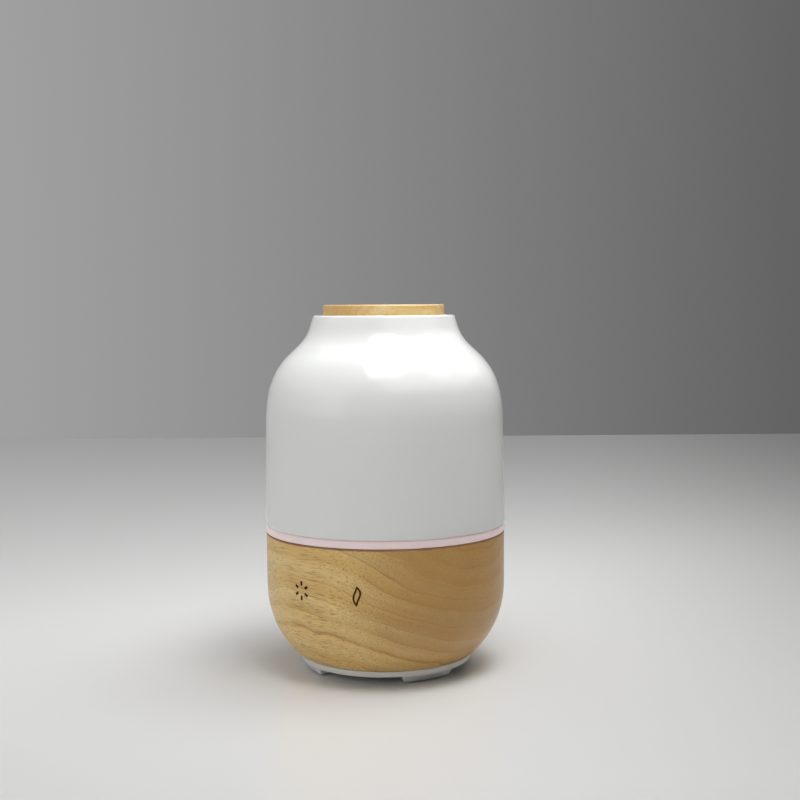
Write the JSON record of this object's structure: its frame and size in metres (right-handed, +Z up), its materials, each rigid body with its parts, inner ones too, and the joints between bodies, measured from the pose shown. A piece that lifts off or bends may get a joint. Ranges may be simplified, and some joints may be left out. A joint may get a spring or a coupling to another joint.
{
  "type": "essential oil diffuser",
  "caption": "Tabletop ultrasonic aroma diffuser: white bottle-shaped cover with wooden mist outlet disc, frosted light ring, turned wooden base and small feet.",
  "frame": {"origin": "on the table, under the middle of the object", "axes": "+Z up along the axis of the turned shells; the two touch marks face -Y; the power socket's groove faces +Y"},
  "size_m": [0.111, 0.111, 0.1671],
  "materials": {
    "glaze": "white gloss glaze, slightly soft reflections",
    "base_wood": "satin lacquer over light tan wood with pinkish growth bands and short pores",
    "disc_wood": "satin golden wood",
    "frosted_plastic": "frosted translucent pale pink",
    "white_plastic": "fine moulded texture",
    "clear_plastic": "milky translucent moulded plastic",
    "black_plastic": "satin moulded",
    "pad_rubber": "matte",
    "silicone": "matte silicone",
    "steel": "zinc plated",
    "brass": "satin",
    "aluminium": "extruded",
    "green_board": "solder mask",
    "white_board": "white solder mask",
    "ferrite": "sintered",
    "copper": "enamelled copper winding",
    "led_lens": "clear lamp body",
    "red_lead": "pvc insulation",
    "grey_lead": "pvc insulation"
  },
  "bodies": {
    "base": {"wood_shell": "base_wood", "light_ring": "frosted_plastic", "bottom_plate": "white_plastic", "air_duct": "white_plastic", "touch_bracket": "white_plastic", "water_tank": "clear_plastic", "air_vent_cap": "clear_plastic", "fan_frame": "black_plastic", "capacitor_1": "black_plastic", "capacitor_2": "black_plastic", "controller_chip": "black_plastic", "transistor": "black_plastic", "dc_jack": "black_plastic", "foot_pad_1": "pad_rubber", "foot_pad_2": "pad_rubber", "foot_pad_3": "pad_rubber", "foot_pad_4": "pad_rubber", "transducer_gasket": "silicone", "transducer_clamp": "steel", "clamp_screw_1": "steel", "clamp_screw_2": "steel", "clamp_screw_3": "steel", "base_screw_1": "steel", "base_screw_2": "steel", "base_screw_3": "steel", "base_screw_4": "steel", "fan_screw_1": "steel", "fan_screw_2": "steel", "board_screw_1": "steel", "board_screw_2": "steel", "board_screw_3": "steel", "touch_spring_light": "steel", "touch_spring_mist": "steel", "transducer_disc": "brass", "fan_bearing": "brass", "dc_jack_pin": "brass", "heat_sink": "aluminium", "main_board": "green_board", "touch_board": "green_board", "led_board": "white_board", "power_inductor": "ferrite", "fan_stator": "copper", "led_1": "led_lens", "led_2": "led_lens", "led_3": "led_lens", "led_4": "led_lens", "transducer_lead": "red_lead", "jack_lead": "grey_lead", "fan_lead": "grey_lead", "led_lead": "grey_lead", "touch_lead": "grey_lead"},
    "fan_rotor": {"fan_impeller": "black_plastic", "fan_shaft": "steel", "fan_magnet": "ferrite"},
    "inner_lid": {"splash_lid": "clear_plastic"},
    "cover": {"cover_shell": "glaze", "neck_insert": "white_plastic", "neck_seal": "silicone", "mist_disc": "disc_wood"}
  },
  "joints": [
    {"name": "fan_spin", "type": "hinge", "parent": "base", "child": "fan_rotor", "pos_m": [0.0175, 0.001, 0.017], "axis": [0, 0, 1], "continuous": true},
    {"name": "lid_lift", "type": "slide", "parent": "base", "child": "inner_lid", "axis": [0, 0, 1], "range_m": [0, 0.06]},
    {"name": "cover_lift", "type": "slide", "parent": "inner_lid", "child": "cover", "axis": [0, 0, 1], "range_m": [0, 0.12]}
  ]
}
